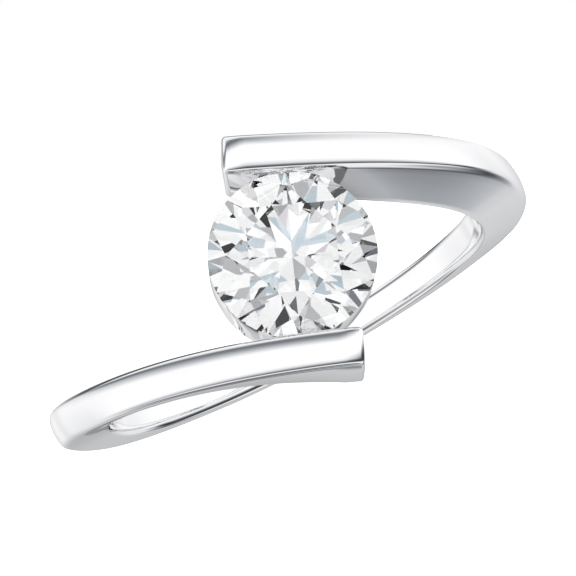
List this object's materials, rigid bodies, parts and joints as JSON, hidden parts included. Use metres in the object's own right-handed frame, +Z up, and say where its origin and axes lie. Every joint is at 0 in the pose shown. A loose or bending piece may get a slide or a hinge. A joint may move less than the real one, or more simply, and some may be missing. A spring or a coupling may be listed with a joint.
{
  "type": "bypass ring",
  "caption": "Slim polished bypass ring whose arms sweep past each other and hold a round brilliant stone, seated on an open round collet between them.",
  "frame": {"origin": "on the surface that the ring lies on, under the middle of its bounding box", "axes": "+Z up from that surface, +Y from the stone towards the palm side, +X to the right as the stone is faced. The finger hole's axis leans 13 degrees from +Z towards +Y."},
  "size_m": [0.0206, 0.0218, 0.01],
  "materials": {
    "white_gold": "mirror polished white gold",
    "diamond": "clear, cut and polished facets"
  },
  "bodies": {
    "root": {"band": "white_gold", "stone": "diamond"}
  },
  "joints": []
}
